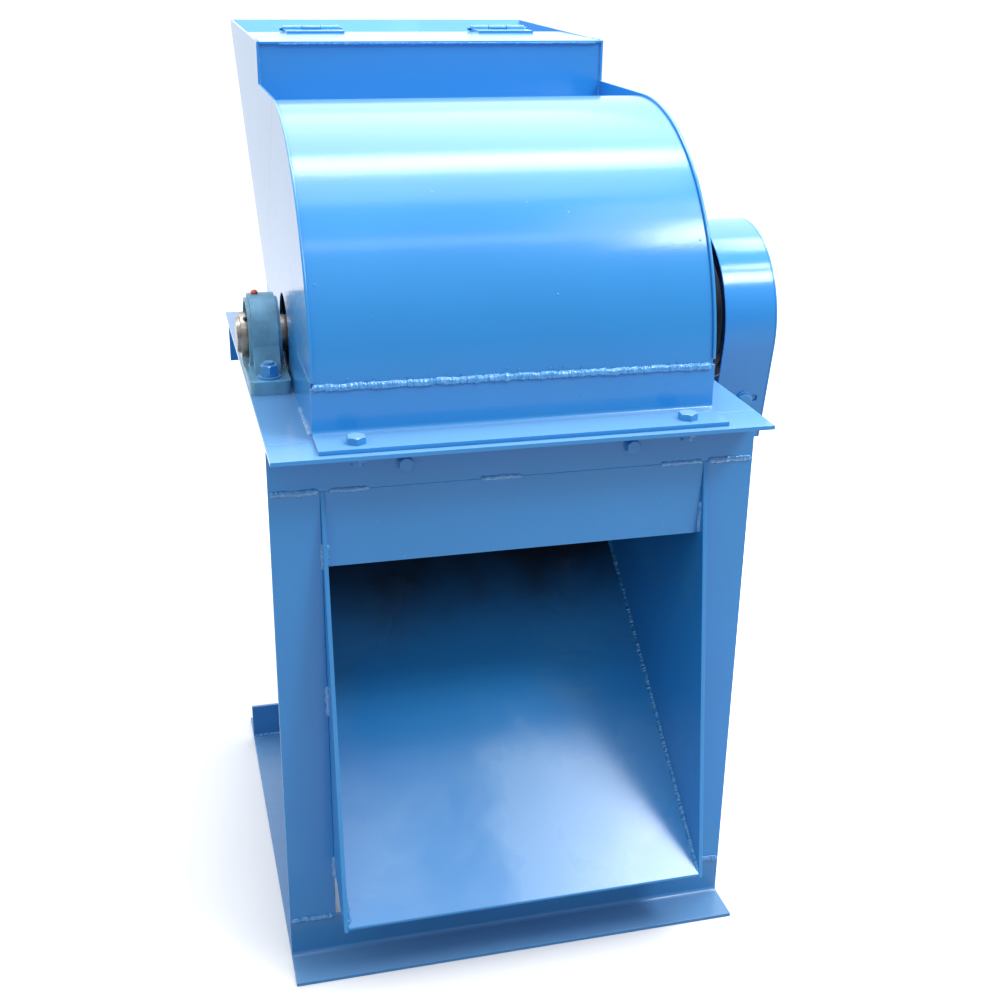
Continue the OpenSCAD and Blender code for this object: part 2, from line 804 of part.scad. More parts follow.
// Sloping rear wall with the moving halves of the hood hinge.
module hopper_rear_wall() {
    w = side_x - sheet_t;
    run = hopper_rear_y - rear_plate_y;
    rise = rim_z - upper_z;
    drop = sheet_t / cos(rear_wall_slope());
    color(paint_blue) difference() {
        union() {
            plate_yz(-w, 2 * w) polygon([[rear_plate_y, upper_z], [hopper_rear_y, rim_z],
                [hopper_rear_y, rim_z - drop], [rear_plate_y + drop / tan(rear_wall_slope()), upper_z]]);
            for (s = [-1, 1]) translate([s * hinge_x - knuckle_l / 2, 0, 0]) {
                rod_x(0, knuckle_l, hinge_r, hinge_y, hinge_z);
                plate_yz(0, knuckle_l) polygon([
                    [hinge_y - 2, hinge_z + 8], [hinge_y + 10, hinge_z],
                    [hinge_y + 70, upper_z + (hinge_y + 70 - rear_plate_y) * rise / run - drop + eps],
                    [hinge_y - 2, upper_z + (hinge_y - 2 - rear_plate_y) * rise / run - drop + eps]]);
            }
        }
        for (s = [-1, 1])
            rod_x(s * hinge_x - knuckle_l, 2 * knuckle_l, hinge_pin_r + run_gap, hinge_y, hinge_z);
    }
}

module hopper_top_plate() {
    w = side_x - sheet_t;
    color(paint_blue) translate([-w, hopper_wall_y - 5, hopper_top_z - sheet_t])
        cube([2 * w, mouth_y - hopper_wall_y + 5, sheet_t]);
}

// Fixed leaves, outer knuckles and pins of the flap's two hinges.
module flap_hinges() {
    leaf_t = 4;
    color(paint_blue) for (s = [-1, 1]) translate([s * flap_x, 0, 0]) {
        translate([-1.5 * flap_knuckle_l, mouth_y - 44, hopper_top_z])
            cube([3 * flap_knuckle_l, 44, leaf_t]);
        for (e = [-1, 1]) difference() {
            union() {
                rod_x(e * (flap_knuckle_l + 0.5) - flap_knuckle_l / 2, flap_knuckle_l - 0.5,
                    flap_barrel_r, flap_y, flap_z);
                translate([e * (flap_knuckle_l + 0.5) - flap_knuckle_l / 2, mouth_y - 1, hopper_top_z])
                    cube([flap_knuckle_l - 0.5, flap_y - mouth_y + 1, leaf_t]);
            }
            rod_x(-2 * flap_knuckle_l, 4 * flap_knuckle_l, flap_pin_r, flap_y, flap_z);
        }
        rod_x(-1.5 * flap_knuckle_l - 5, 3 * flap_knuckle_l + 10, flap_pin_r, flap_y, flap_z);
    }
}

// Hanging flap inside the hopper mouth, with the middle knuckles.
module feed_flap() {
    w = side_x - sheet_t - 8;
    color(paint_blue) difference() {
        union() {
            for (s = [-1, 1])
                rod_x(s * flap_x - flap_knuckle_l / 2 + 0.5, flap_knuckle_l - 1.5,
                    flap_barrel_r, flap_y, flap_z);
            for (s = [-1, 1])
                translate([s * flap_x - flap_knuckle_l / 2 + 0.5, flap_y - flap_t / 2,
                    flap_z - 16]) cube([flap_knuckle_l - 1.5, flap_t, 14]);
            translate([-w, flap_y - flap_t / 2, flap_z - flap_drop])
                cube([2 * w, flap_t, flap_drop - 12]);
        }
        rod_x(-w, 2 * w, flap_pin_r + run_gap, flap_y, flap_z);
    }
}

top_rail_front();
top_rail_rear();
top_rail_left();
top_rail_right();
bottom_rail_front();
bottom_rail_rear();
bottom_rail_left();
bottom_rail_right();
leg_front_left();
leg_front_right();
leg_rear_left();
leg_rear_right();
front_apron();
chute_floor();
chute_side_left();
chute_side_right();
casing_side_left();
casing_side_right();
casing_rear_plate();
breaker_plate();
breaker_bolts();
screen();
screen_rail_left();
screen_rail_right();
bearing_housing_left();
bearing_housing_right();
bearing_outer_rings();
bearing_bolts();
grease_nipples();
guard_band();
guard_face();
guard_brackets();
guard_bolts();
hood_nuts();
hood_hinge_lugs();
hood_hinge_pins();
rotor_shaft();
bearing_inner_rings();
collar_screws();
rotor_discs();
disc_spacers();
hammer_pins();
hammer_spacers();
pin_collars();
drive_pulley();
pulley_key();
hammer_row_1();
hammer_row_2();
hammer_row_3();
hammer_row_4();
hood_shell();
hood_side_left();
hood_side_right();
hood_front_angle();
hopper_front_wall();
hopper_rear_wall();
hopper_top_plate();
hood_bolts();
flap_hinges();
feed_flap();
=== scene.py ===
"""Hammer mill: finishes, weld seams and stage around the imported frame."""
import json
import math
import random

import bmesh
import bpy
from bpy.props import FloatProperty, FloatVectorProperty, IntProperty, PointerProperty
from mathutils import Matrix, Vector, noise


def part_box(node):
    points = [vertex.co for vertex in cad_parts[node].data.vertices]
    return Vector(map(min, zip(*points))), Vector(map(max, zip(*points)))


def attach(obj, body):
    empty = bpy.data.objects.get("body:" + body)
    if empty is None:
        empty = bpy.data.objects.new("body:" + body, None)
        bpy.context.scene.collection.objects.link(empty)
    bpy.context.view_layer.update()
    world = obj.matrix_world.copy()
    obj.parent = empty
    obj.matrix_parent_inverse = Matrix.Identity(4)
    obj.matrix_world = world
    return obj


bl_info = {
    "name": "Hammer Mill",
    "version": (1, 0, 0),
    "blender": (4, 5, 0),
    "location": "3D View > Sidebar > Hammer Mill",
    "description": "Finishes, weld seams and stage of a hammer mill",
    "category": "Object",
}

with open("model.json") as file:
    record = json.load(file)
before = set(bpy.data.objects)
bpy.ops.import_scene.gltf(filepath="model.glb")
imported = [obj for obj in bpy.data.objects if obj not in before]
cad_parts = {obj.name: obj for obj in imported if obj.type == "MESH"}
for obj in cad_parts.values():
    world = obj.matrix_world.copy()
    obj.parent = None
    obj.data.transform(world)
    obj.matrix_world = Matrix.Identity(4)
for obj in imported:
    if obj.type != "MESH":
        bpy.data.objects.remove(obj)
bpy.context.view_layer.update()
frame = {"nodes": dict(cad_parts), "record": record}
MM = 0.001
NODES = frame["nodes"]
SLOT_OF = {row["node"]: row["material_slot"] for row in frame["record"]["subparts"]}

HOOD_SHEETS = ("hood_shell", "hood_side_left", "hood_side_right", "guard_band", "guard_face")
CHUTE_SIDES = ("chute_side_left", "chute_side_right")
FINISHES = {}

BAR_THICK = 6 * MM        # angle bars and thick plates
HOPPER_SLOPE = 0.8015     # rise of the hopper's rear wall for each metre to the rear
SEAM_STEP = 0.0011        # distance between two cross sections of a seam
SEAM_SIDES = 8            # flats round the top of a seam
CAMERA_TURN = (14.76, -22.03, 0.83)          # yaw, pitch and roll in degrees
CAMERA_PLACE = (-0.4866, -2.0671, 1.4628)


# ---- sizes and colours that a user may change ----


class HammerMillPaint(bpy.types.PropertyGroup):
    """Colours and gloss of the painted parts"""

    enamel: FloatVectorProperty(
        name="Enamel", description="Colour of the machine's enamel", subtype="COLOR",
        size=3, min=0, max=1, default=(0.022, 0.225, 0.575))
    # Also the colour of the painted highlights on edges and weld crests.
    thin_enamel_and_highlight: FloatVectorProperty(
        name="Thin enamel and highlight", description="Colour where the enamel is thin or dusty, also used for painted highlights on edges and weld crests", subtype="COLOR",
        size=3, min=0, max=1, default=(0.055, 0.295, 0.585))
    cast: FloatVectorProperty(
        name="Cast housings", description="Colour of the bearing housings", subtype="COLOR",
        size=3, min=0, max=1, default=(0.105, 0.270, 0.390))
    primer: FloatVectorProperty(
        name="Chipped edge", description="Colour where an edge is chipped", subtype="COLOR",
        size=3, min=0, max=1, default=(0.420, 0.170, 0.085))
    # Painted light: a paler colour mixed onto upward faces, standing in for the brighter light
    # falling on top faces.
    top_light: FloatVectorProperty(
        name="Painted top light", description="Lighter colour painted on upward faces as light from above",
        subtype="COLOR", size=3, min=0, max=1, default=(0.200, 0.370, 0.570))
    dust: FloatVectorProperty(
        name="Dust", description="Colour of the dust low on the stand", subtype="COLOR",
        size=3, min=0, max=1, default=(0.110, 0.150, 0.210))
    # Painted shade: a near-black colour painted on the upward faces deep in the chute, standing in
    # for the shade inside the enclosure.
    chute_shade: FloatVectorProperty(
        name="Painted chute shade", description="Painted shade deep inside the chute",
        subtype="COLOR", size=3, min=0, max=1, default=(0.016, 0.022, 0.035))
    gloss: FloatProperty(
        name="Roughness", description="Roughness of clean enamel", subtype="FACTOR",
        min=0, max=1, default=0.16)
    bloom: FloatProperty(
        name="Bloom", description="Share of the broad, hazy second gloss", subtype="FACTOR",
        min=0, max=1, default=0.28)
    peel: FloatProperty(
        name="Orange peel", description="Height of the orange peel", subtype="DISTANCE",
        unit="LENGTH", min=0, max=0.001, default=0.00005)
    waviness: FloatProperty(
        name="Waviness", description="Height of the slow waves in the sheets", subtype="DISTANCE",
        unit="LENGTH", min=0, max=0.01, default=0.0011)


class HammerMillWelds(bpy.types.PropertyGroup):
    """Sizes of the weld seams"""

    width: FloatProperty(
        name="Width", description="Width of a full seam", subtype="DISTANCE", unit="LENGTH",
        min=0.002, max=0.02, default=0.010)
    height: FloatProperty(
        name="Height", description="Height of a full seam", subtype="DISTANCE", unit="LENGTH",
        min=0.001, max=0.01, default=0.0036)
    ripple: FloatProperty(
        name="Ripple", description="Distance between two ripples", subtype="DISTANCE",
        unit="LENGTH", min=0.001, max=0.02, default=0.0048)
    spatter: IntProperty(
        name="Spatter", description="Drops of spatter for each metre of seam", min=0, max=600,
        default=150)


class HammerMillEdges(bpy.types.PropertyGroup):
    """Rounding of the sheet and bar edges"""

    plate: FloatProperty(
        name="Plates", description="Rounding of plate and bar edges", subtype="DISTANCE",
        unit="LENGTH", min=0.0001, max=0.002, default=0.0008)


class HammerMillStage(bpy.types.PropertyGroup):
    """Camera and light"""

    lens: FloatProperty(
        name="Lens", description="Focal length of the camera in millimetres", min=20, max=200,
        default=49.85)
    strip: FloatProperty(
        name="Strip light", description="Radiance of the strip above the hood", min=0, max=100,
        default=16.0)
    back: FloatProperty(
        name="Back light", description="Radiance of the soft light above and behind", min=0,
        max=100, default=2.1)
    window: FloatProperty(
        name="Window", description="Radiance of the bright patch above the chute", min=0, max=100,
        default=24.0)
    sky: FloatProperty(
        name="Sky", description="Brightness of the light from above", min=0, max=10, default=1.45)
    front: FloatProperty(
        name="Front", description="Brightness of the light from in front", min=0, max=10,
        default=0.5)
    horizon: FloatProperty(
        name="Horizon", description="Brightness low behind the machine", min=0, max=10,
        default=1.5)


# ---- shader node helpers ----


class Web:
    """Nodes of one tree, added and linked by short calls."""

    def __init__(self, tree):
        self.tree = tree

    def add(self, kind, settings=None, **sockets):
        node = self.tree.nodes.new(kind)
        for key, value in (settings or {}).items():
            setattr(node, key, value)
        for key, value in sockets.items():
            self.feed(node.inputs[key.replace("_", " ")], value)
        return node

    def feed(self, socket, value):
        if isinstance(value, bpy.types.NodeSocket):
            self.tree.links.new(value, socket)
        else:
            socket.default_value = value

    def math(self, operation, a, b=0.0, clamp=False):
        node = self.tree.nodes.new("ShaderNodeMath")
        node.operation, node.use_clamp = operation, clamp
        self.feed(node.inputs[0], a)
        self.feed(node.inputs[1], b)
        return node.outputs[0]

    def noise(self, vector, scale, detail=3.0, rough=0.5, distortion=0.0):
        node = self.add("ShaderNodeTexNoise", Vector=vector, Scale=scale, Detail=detail,
                        Roughness=rough, Distortion=distortion)
        return node.outputs["Fac"]

    def ramp(self, value, low, high, to_low=0.0, to_high=1.0):
        node = self.add("ShaderNodeMapRange", {"interpolation_type": "SMOOTHSTEP"})
        for index, item in enumerate((value, low, high, to_low, to_high)):
            self.feed(node.inputs[index], item)
        return node.outputs["Result"]

    def mix(self, factor, a, b):
        node = self.add("ShaderNodeMix", {"data_type": "RGBA"})
        self.feed(node.inputs["Factor"], factor)
        self.feed(node.inputs[6], a)
        self.feed(node.inputs[7], b)
        return node.outputs[2]

    def effect(self, name, **sockets):
        node = self.add("ShaderNodeGroup", {"node_tree": bpy.data.node_groups[name]})
        for key, value in sockets.items():
            self.feed(node.inputs[key.replace("_", " ")], value)
        return node


def effect_group(name, inputs, outputs):
    """An empty shader group with float or vector sockets; returns its web and end nodes."""
    tree = bpy.data.node_groups.new(name, "ShaderNodeTree")
    for socket, kind, default in inputs:
        made = tree.interface.new_socket(socket, in_out="INPUT", socket_type=kind)
        if default is not None:
            made.default_value = default
    for socket in outputs:
        tree.interface.new_socket(socket, in_out="OUTPUT", socket_type="NodeSocketFloat")
    web = Web(tree)
    return web, tree.nodes.new("NodeGroupInput").outputs, tree.nodes.new("NodeGroupOutput").inputs


VECTOR, FLOAT = "NodeSocketVector", "NodeSocketFloat"


def build_effects():
    """Groups that several finishes share."""
    web, given, out = effect_group(
        "Orange Peel", [("Vector", VECTOR, None), ("Peel Height", FLOAT, 0.00005),
                        ("Wave Height", FLOAT, 0.001), ("Wave Scale", FLOAT, 5.0)], ["Height"])
    fine = web.noise(given["Vector"], 420.0, 2.0, 0.55)
    broad = web.noise(given["Vector"], 110.0, 2.0, 0.5)
    wave = web.noise(given["Vector"], given["Wave Scale"], 1.0, 0.4)
    skin = web.math("MULTIPLY", web.math("ADD", fine, web.math("MULTIPLY", broad, 1.6)),
                    given["Peel Height"])
    web.feed(out["Height"], web.math("ADD", skin, web.math("MULTIPLY", wave, given["Wave Height"])))

    web, given, out = effect_group(
        "Spray Mist", [("Vector", VECTOR, None), ("Scale", FLOAT, 4.0), ("Cover", FLOAT, 0.5)],
        ["Mask"])
    cloud = web.noise(given["Vector"], given["Scale"], 4.0, 0.55, 0.4)
    grain = web.noise(given["Vector"], 900.0, 1.0, 0.6)
    low = web.math("SUBTRACT", 0.72, web.math("MULTIPLY", given["Cover"], 0.4))
    soft = web.ramp(cloud, low, web.math("ADD", low, 0.25))
    web.feed(out["Mask"], web.math("MULTIPLY", soft, web.ramp(grain, 0.2, 0.8, 0.75, 1.0)))

    # Edge finds sharp edges; the finishes use it partly for real wear and partly to paint a
    # highlight along edges. Chip marks chipped spots on edges.
    web, given, out = effect_group(
        "Edge Wear And Highlight", [("Vector", VECTOR, None), ("Radius", FLOAT, 0.0015), ("Amount", FLOAT, 0.5)],
        ["Edge", "Chip"])
    bevel = web.add("ShaderNodeBevel", {"samples": 4}, Radius=given["Radius"])
    plain = web.add("ShaderNodeNewGeometry")
    dot = web.add("ShaderNodeVectorMath", {"operation": "DOT_PRODUCT"})
    web.feed(dot.inputs[0], bevel.outputs["Normal"])
    web.feed(dot.inputs[1], plain.outputs["Normal"])
    edge = web.ramp(dot.outputs["Value"], 0.985, 0.86)
    patch = web.noise(given["Vector"], 38.0, 4.0, 0.6)
    limit = web.math("SUBTRACT", 0.80, web.math("MULTIPLY", given["Amount"], 0.3))
    web.feed(out["Edge"], edge)
    web.feed(out["Chip"], web.math("MULTIPLY", edge, web.ramp(
        patch, limit, web.math("ADD", limit, 0.05))))

    web, given, out = effect_group(
        "Paint Specks", [("Vector", VECTOR, None), ("Scale", FLOAT, 60.0), ("Share", FLOAT, 0.3)],
        ["Mask"])
    cells = web.add("ShaderNodeTexVoronoi", Vector=given["Vector"], Scale=given["Scale"])
    pick = web.add("ShaderNodeSeparateColor", Color=cells.outputs["Color"])
    near = web.ramp(cells.outputs["Distance"], 0.16, 0.06)
    chosen = web.math("LESS_THAN", pick.outputs[0], given["Share"])
    web.feed(out["Mask"], web.math("MULTIPLY", near, chosen))


def new_finish(name, **sockets):
    """A material with one Principled shader; returns it, its web, the shader and the position."""
    material = bpy.data.materials.new(name)
    material.use_nodes = True
    tree = material.node_tree
    tree.nodes.clear()
    web = Web(tree)
    shader = web.add("ShaderNodeBsdfPrincipled", **sockets)
    out = web.add("ShaderNodeOutputMaterial")
    tree.links.new(shader.outputs["BSDF"], out.inputs["Surface"])
    place = web.add("ShaderNodeTexCoord").outputs["Object"]
    return material, web, shader, place


def dress_shader(web, shader, colour, roughness, height):
    """Feeds colour, roughness and a bump in metres to a material's own shader."""
    web.feed(shader.inputs["Base Color"], colour)
    web.feed(shader.inputs["Roughness"], roughness)
    bump = web.add("ShaderNodeBump", Distance=1.0, Height=height)
    web.feed(shader.inputs["Normal"], bump.outputs["Normal"])


def rgba(colour, scale=1.0):
    return tuple(channel * scale for channel in colour) + (1.0,)


def cloud_of(web, place):
    """Slow noise about zero."""
    return web.math("SUBTRACT", web.noise(place, 5.0, 3.0), 0.5)


def enamel_finish(name, paint, mist_scale=4.0, mist_cover=0.45, haze=0.10, chips=0.35,
                  tone=1.0, wave=1.0, wave_scale=5.0, dust=0.0, top_light=0.6,
                  shade_from=None, bloom=0.6, veil=0.45):
    """Glossy sprayed enamel with orange peel, mist, specks, chipped edges and edges lightened as a
    painted highlight; upward faces get painted top light and, where asked, the chute gets painted
    shade deep inside.
    """
    material, web, shader, place = new_finish(name, IOR=1.5, Coat_Roughness=veil)
    mist = web.effect("Spray Mist", Vector=place, Scale=mist_scale, Cover=mist_cover)
    facing = web.add("ShaderNodeSeparateXYZ",
                     Vector=web.add("ShaderNodeTexCoord").outputs["Normal"]).outputs["Z"]
    upper = web.ramp(facing, 0.0, 0.3)
    veiled = web.math("MULTIPLY", web.math("ADD", mist.outputs["Mask"], 0.4, clamp=True),
                      bloom * paint.bloom)
    if shade_from is not None:
        veiled = web.math("MULTIPLY", veiled, upper)
    web.feed(shader.inputs["Coat Weight"], veiled)
    edge_wear_and_highlight = web.effect("Edge Wear And Highlight", Vector=place, Amount=chips)
    specks = web.effect("Paint Specks", Vector=place, Scale=70.0, Share=0.05)
    drift = web.noise(place, 2.2, 2.0)
    body = web.mix(web.ramp(drift, 0.3, 0.7), rgba(paint.enamel, tone),
                   rgba(paint.enamel, tone * 1.12))
    body = web.mix(web.math("MULTIPLY", mist.outputs["Mask"], 0.38), body,
                   rgba(paint.thin_enamel_and_highlight, tone))
    # Painted light: faces that point up are mixed towards a paler colour, as if lit more strongly
    # from above.
    body = web.mix(web.ramp(facing, 0.70, 0.99, 0.0, top_light), body, rgba(paint.top_light))
    # Painted highlight: edges are lightened, partly thinner paint on the edge and partly a painted
    # highlight standing in for the shine of a rounded edge.
    body = web.mix(web.math("MULTIPLY", edge_wear_and_highlight.outputs["Edge"], 0.30), body,
                   rgba(paint.thin_enamel_and_highlight, 1.5))
    body = web.mix(edge_wear_and_highlight.outputs["Chip"], body, rgba(paint.primer))
    rough = web.math("ADD", paint.gloss, web.math("MULTIPLY", mist.outputs["Mask"], haze))
    if dust:
        body = web.mix(dust, body, web.mix(web.noise(place, 14.0, 4.0), rgba(paint.dust, 0.7),
                                           rgba(paint.dust, 1.3)))
        rough = web.math("ADD", rough, 0.3 * dust)
    # Painted shade: upward faces higher up in the chute, deeper inside, are mixed to a near-black
    # colour that stands in for the shade inside the chute.
    if shade_from is not None:
        depth = web.add("ShaderNodeSeparateXYZ", Vector=place).outputs["Z"]
        depth = web.math("ADD", depth, web.math("MULTIPLY", cloud_of(web, place), 0.12))
        chute_shade = web.math("MULTIPLY", web.ramp(depth, shade_from, shade_from + 0.12), upper)
        body = web.mix(chute_shade, body, rgba(paint.chute_shade))
    rough = web.math("ADD", rough, web.math("MULTIPLY", edge_wear_and_highlight.outputs["Chip"], 0.35))
    peel = web.effect("Orange Peel", Vector=place, Peel_Height=paint.peel,
                      Wave_Height=paint.waviness * wave, Wave_Scale=wave_scale)
    height = web.math("ADD", peel.outputs["Height"],
                      web.math("MULTIPLY", specks.outputs["Mask"], 0.0003))
    height = web.math("SUBTRACT", height, web.math("MULTIPLY", edge_wear_and_highlight.outputs["Chip"], 0.0001))
    dress_shader(web, shader, body, rough, height)
    return material


def weld_finish(name, paint):
    """Thick, wet-looking paint over a rough weld seam."""
    material, web, shader, place = new_finish(name, IOR=1.5, Coat_Weight=1.0, Coat_Roughness=0.06)
    lumps = web.noise(place, 150.0, 2.0, 0.5)
    pits = web.noise(place, 600.0, 2.0, 0.5)
    # Lump crests are mixed to a paler blue: partly thinner paint on the crests, partly a painted
    # highlight standing in for glints.
    body = web.mix(web.ramp(lumps, 0.40, 0.75), rgba(paint.enamel), rgba(paint.thin_enamel_and_highlight, 1.25))
    height = web.math("MULTIPLY", web.math("ADD", lumps, web.math("MULTIPLY", pits, 0.10)), 0.0021)
    dress_shader(web, shader, body, web.ramp(pits, 0.3, 0.7, 0.05, 0.14), height)
    return material


def cast_finish(name, paint):
    """Sand-cast iron under a thin coat of paint."""
    material, web, shader, place = new_finish(name, IOR=1.5)
    sand = web.noise(place, 330.0, 4.0, 0.65)
    cloud = web.noise(place, 26.0, 3.0)
    edge_wear_and_highlight = web.effect("Edge Wear And Highlight", Vector=place, Radius=0.002, Amount=0.2)
    body = web.mix(web.ramp(cloud, 0.3, 0.75), rgba(paint.cast), rgba(paint.cast, 1.55))
    body = web.mix(web.math("MULTIPLY", web.ramp(sand, 0.58, 0.72), 0.35), body,
                   rgba(paint.thin_enamel_and_highlight, 1.4))
    # Painted highlight: edges of the casting are lightened, partly thin paint and partly a painted
    # highlight.
    body = web.mix(web.math("MULTIPLY", edge_wear_and_highlight.outputs["Edge"], 0.35), body,
                   rgba(paint.thin_enamel_and_highlight, 1.3))
    height = web.math("MULTIPLY", web.math("ADD", sand, web.math("MULTIPLY", cloud, 1.2)), 0.0009)
    dress_shader(web, shader, body, web.ramp(sand, 0.3, 0.7, 0.30, 0.52), height)
    return material


def turned_finish(name, colour, stain, rough_low, rough_high, grooves=0.00002):
    """Turned or ground steel: rings about the shaft's direction, with oil stains."""
    material, web, shader, place = new_finish(name, Metallic=1.0)
    squeeze = web.add("ShaderNodeVectorMath", {"operation": "MULTIPLY"})
    web.feed(squeeze.inputs[0], place)
    squeeze.inputs[1].default_value = (1.0, 0.02, 0.02)
    rings = web.noise(squeeze.outputs[0], 1900.0, 3.0, 0.7)
    oil = web.noise(place, 42.0, 4.0, 0.6)
    body = web.mix(web.ramp(oil, 0.42, 0.72), rgba(colour), rgba(stain))
    body = web.mix(web.math("MULTIPLY", web.ramp(rings, 0.35, 0.75), 0.25), body, rgba(colour, 0.6))
    dress_shader(web, shader, body, web.ramp(oil, 0.3, 0.75, rough_low, rough_high),
                 web.math("MULTIPLY", rings, grooves))
    return material


def scale_finish(name, colour):
    """Oiled mill scale on the working parts inside the casing."""
    material, web, shader, place = new_finish(name, Metallic=0.85)
    flake = web.noise(place, 60.0, 5.0, 0.65)
    dust = web.noise(place, 9.0, 3.0)
    edge_wear_and_highlight = web.effect("Edge Wear And Highlight", Vector=place, Radius=0.0015, Amount=0.7)
    body = web.mix(web.ramp(flake, 0.4, 0.65), rgba(colour), rgba(colour, 1.8))
    body = web.mix(web.math("MULTIPLY", web.ramp(dust, 0.5, 0.75), 0.3), body,
                   (0.16, 0.11, 0.07, 1.0))
    body = web.mix(web.math("MULTIPLY", edge_wear_and_highlight.outputs["Edge"], 0.5), body, (0.42, 0.42, 0.42, 1.0))
    dress_shader(web, shader, body, web.ramp(flake, 0.3, 0.7, 0.34, 0.6),
                 web.math("MULTIPLY", flake, 0.0003))
    return material


def cap_finish(name):
    """Soft plastic cap, a little dusty."""
    material, web, shader, place = new_finish(name, IOR=1.46)
    dust = web.noise(place, 240.0, 3.0)
    body = web.mix(web.ramp(dust, 0.45, 0.75), (0.62, 0.10, 0.045, 1.0), (0.66, 0.24, 0.16, 1.0))
    dress_shader(web, shader, body, web.ramp(dust, 0.3, 0.7, 0.4, 0.6),
                 web.math("MULTIPLY", dust, 0.0001))
    return material


def build_finishes(paint):
    """Every finish of the machine, by name."""
    return {
        "blue_paint": enamel_finish("blue_enamel", paint),
        "hood_sheet": enamel_finish("blue_enamel_hood", paint, mist_scale=3.0, mist_cover=0.3,
                                    chips=0.15, wave=1.0, wave_scale=3.2),
        # The chute floor gets painted shade, darker from about 0.38 m up, deep inside the chute.
        "chute_sheet": enamel_finish("blue_enamel_chute", paint, mist_scale=3.4, mist_cover=0.8,
                                     haze=0.20, chips=0.25, top_light=0.0, shade_from=0.38,
                                     bloom=3.4, veil=0.26),
        "chute_side": enamel_finish("blue_enamel_chute_side", paint, mist_cover=0.6, chips=0.25,
                                    top_light=0.0),
        "low_bars": enamel_finish("blue_enamel_low", paint, mist_cover=0.6, haze=0.2, dust=0.25,
                                  top_light=0.5),
        "painted_fasteners": enamel_finish("blue_enamel_fasteners", paint, mist_scale=60.0,
                                           mist_cover=1.0, haze=0.08, chips=0.2, wave=0.12,
                                           wave_scale=70.0, top_light=0.9),
        "cast_housing": cast_finish("cast_blue", paint),
        "bare_steel": turned_finish("turned_steel", (0.34, 0.32, 0.29), (0.15, 0.12, 0.10),
                                    0.26, 0.44),
        "dark_steel": scale_finish("mill_scale", (0.055, 0.055, 0.06)),
        "black_screws": scale_finish("black_oxide", (0.02, 0.02, 0.022)),
        "red_caps": cap_finish("red_cap"),
        "weld": weld_finish("painted_weld", paint),
    }


def finish_of(node):
    """The finish of a CAD node: its slot's, or that of a sheet with its own look."""
    if node in HOOD_SHEETS:
        return FINISHES["hood_sheet"]
    if node.startswith("bottom_rail"):
        return FINISHES["low_bars"]
    if node in CHUTE_SIDES:
        return FINISHES["chute_side"]
    if node == "chute_floor":
        return FINISHES["chute_sheet"]
    return FINISHES[SLOT_OF[node]]


def dress(nodes, rounding=0.0, harden=False):
    """Gives CAD nodes their finish and, where asked, rounded edges."""
    for node in nodes:
        piece = NODES[node]
        for slot in piece.material_slots:
            slot.link = "OBJECT"
            slot.material = finish_of(node)
        if rounding:
            weld = piece.modifiers.new("join_corners", "WELD")
            weld.merge_threshold = 0.01 * MM
            flat = piece.modifiers.new("join_flat_faces", "DECIMATE")
            flat.decimate_type, flat.angle_limit = "DISSOLVE", math.radians(0.2)
            bevel = piece.modifiers.new("round_edges", "BEVEL")
            bevel.width, bevel.segments = rounding, 2
            bevel.limit_method, bevel.angle_limit = "ANGLE", math.radians(35)
            bevel.use_clamp_overlap = False
            bevel.harden_normals = harden
            if not harden:
                piece.modifiers.new("even_shading", "WEIGHTED_NORMAL")


# ---- weld seams ----


def seam_rings(points, up, width, height, ripple, seed):
    """Cross sections of a rippled seam along a polyline, rising towards up."""
    dice = random.Random(seed)
    phase, shift = dice.random() * 10, Vector((seed * 1.7, 3.1, 0.9))
    lengths = [(b - a).length for a, b in zip(points, points[1:])]
    total, rings = sum(lengths), []
    count = max(8, int(total / SEAM_STEP))
    for i in range(count + 1):
        s = total * i / count
        rest, k = s, 0
        while k < len(lengths) - 1 and rest > lengths[k]:
            rest -= lengths[k]
            k += 1
        a, b = points[k], points[k + 1]
        along = (b - a).normalized()
        side = along.cross(up).normalized()
        rise = side.cross(along).normalized()
        wander = noise.noise(shift + Vector((s * 45, 0, 0)))
        swell = noise.noise(shift + Vector((s * 120, 5, 0)))
        lump = noise.noise(shift + Vector((s * 260, 9, 0)))
        turn = (s / ripple + phase + wander) % 1.0
        scallop = 0.72 + 0.28 * math.sqrt(max(0.0, 1 - (2 * turn - 1) ** 2))
        end = min(1.0, s / (0.5 * width), (total - s) / (0.5 * width))
        end = math.sqrt(max(0.02, end * (2 - end)))
        w = 0.5 * width * (1 + 0.30 * swell + 0.16 * lump) * end * (0.86 + 0.14 * scallop)
        h = height * (1 + 0.45 * lump + 0.25 * swell) * scallop * end
        centre = a + along * rest + side * (0.14 * width * wander)
        rings.append((centre, side, rise, w, h))
    return rings


def add_seam(mesh, points, up, width, height, ripple, seed):
    """Adds one seam to a bmesh, closed underneath."""
    rows = []
    for centre, side, rise, w, h in seam_rings(points, up.normalized(), width, height, ripple,
                                               seed):
        row = []
        for t in range(SEAM_SIDES + 1):
            angle = math.pi * t / SEAM_SIDES
            rough = 1 + 0.10 * noise.noise(centre * 900 + Vector((t * 2.3, seed, 0)))
            row.append(mesh.verts.new(centre + side * (w * math.cos(angle)) + rise * (
                h * math.sin(angle) * rough - 0.4 * MM)))
        rows.append(row)
    for a, b in zip(rows, rows[1:]):
        for t in range(SEAM_SIDES):
            mesh.faces.new((a[t], a[t + 1], b[t + 1], b[t]))
        mesh.faces.new((a[SEAM_SIDES], a[0], b[0], b[SEAM_SIDES]))
    mesh.faces.new(rows[0][::-1])
    mesh.faces.new(rows[-1])


